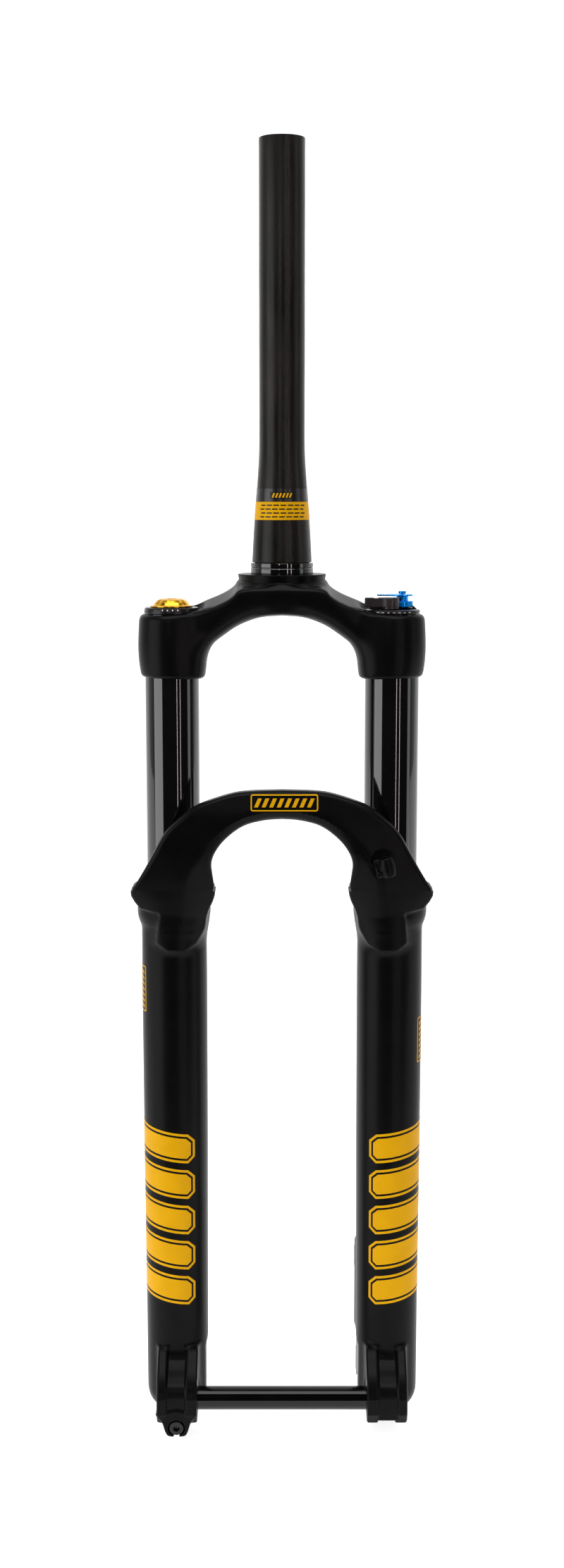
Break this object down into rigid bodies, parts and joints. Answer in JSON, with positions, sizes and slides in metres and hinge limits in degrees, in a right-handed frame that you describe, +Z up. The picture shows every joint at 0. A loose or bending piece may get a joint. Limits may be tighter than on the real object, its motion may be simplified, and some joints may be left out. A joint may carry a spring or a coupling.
{
  "type": "bicycle suspension fork",
  "caption": "Telescopic bicycle suspension fork with a tapered carbon steerer, forged crown, gloss black stanchions, one-piece lower legs with an arch, damper adjusters and a through-axle.",
  "frame": {"origin": "centre of the crown race seat, on the steerer axis", "axes": "+Z up along the steerer, the fork's front faces -Y, +X is the damper leg on the rider's left"},
  "size_m": [0.1924, 0.0852, 0.8284],
  "materials": {
    "carbon": "satin",
    "satin_black": "satin",
    "gloss_black": "gloss",
    "black_anodised": "satin",
    "gold_anodised": "gloss",
    "blue_anodised": "gloss",
    "bare_aluminium": "satin",
    "steel": "satin",
    "rubber": "matte",
    "foam": "matte",
    "black_plastic": "satin",
    "bush": "satin",
    "yellow_film": "satin",
    "white_print": "satin",
    "black_film": "gloss"
  },
  "bodies": {
    "crown_unit": {"steerer_tube": "carbon", "crown_race_seat": "gloss_black", "crown": "satin_black", "stanchion_air": "gloss_black", "stanchion_damper": "gloss_black", "air_top_cap": "black_anodised", "air_valve": "bare_aluminium", "volume_spacer": "black_plastic", "air_seal_head": "bare_aluminium", "damper_top_cap": "black_anodised", "damper_cartridge": "bare_aluminium", "compression_valve": "bare_aluminium", "cartridge_seal_head": "bare_aluminium"},
    "valve_cap": {"air_valve_cap": "gold_anodised"},
    "climb_lever": {"climb_lever": "gloss_black"},
    "low_speed_knob": {"low_speed_knob": "blue_anodised"},
    "high_speed_lever": {"high_speed_lever": "blue_anodised", "lever_screw": "blue_anodised"},
    "lowers": {"lower_casting": "satin_black", "wiper_seal_air": "rubber", "wiper_seal_damper": "rubber", "garter_spring_air": "steel", "garter_spring_damper": "steel", "foam_ring_air": "foam", "foam_ring_damper": "foam", "upper_bush_air": "bush", "upper_bush_damper": "bush", "lower_bush_air": "bush", "lower_bush_damper": "bush", "air_shaft": "steel", "air_piston": "black_plastic", "top_out_bumper": "rubber", "foot_nut": "steel", "damper_rod": "steel", "damper_piston": "bare_aluminium", "foot_bolt": "steel", "pinch_bolt": "steel", "hose_guide": "black_plastic", "hose_guide_screw": "steel"},
    "rebound_knob": {"rebound_knob": "blue_anodised"},
    "axle": {"axle": "gloss_black"}
  },
  "joints": [
    {"name": "fork_travel", "type": "slide", "parent": "crown_unit", "child": "lowers", "axis": [0, 0, 1], "range_m": [0, 0.13], "stiffness_N_per_m": 2500, "springref_m": -0.04},
    {"name": "climb_lever_turn", "type": "hinge", "parent": "crown_unit", "child": "climb_lever", "pos_m": [0.0678, -0.0195, -0.0139], "axis": [0, 0, 1], "range_deg": [0, 60]},
    {"name": "low_speed_turn", "type": "hinge", "parent": "crown_unit", "child": "low_speed_knob", "pos_m": [0.0758, -0.0097, -0.0166], "axis": [0, 0, 1], "range_deg": [-150, 150]},
    {"name": "high_speed_turn", "type": "hinge", "parent": "crown_unit", "child": "high_speed_lever", "pos_m": [0.0758, -0.0097, -0.0125], "axis": [0, 0, 1], "range_deg": [0, 60]},
    {"name": "valve_cap_lift", "type": "slide", "parent": "crown_unit", "child": "valve_cap", "axis": [0, 0, 1], "range_m": [0, 0.02]},
    {"name": "rebound_turn", "type": "hinge", "parent": "lowers", "child": "rebound_knob", "pos_m": [0.0695, -0.013, -0.5603], "axis": [0, 0, 1], "range_deg": [-150, 150]},
    {"name": "axle_pull", "type": "slide", "parent": "lowers", "child": "axle", "axis": [-1, 0, 0], "range_m": [0, 0.165]}
  ]
}
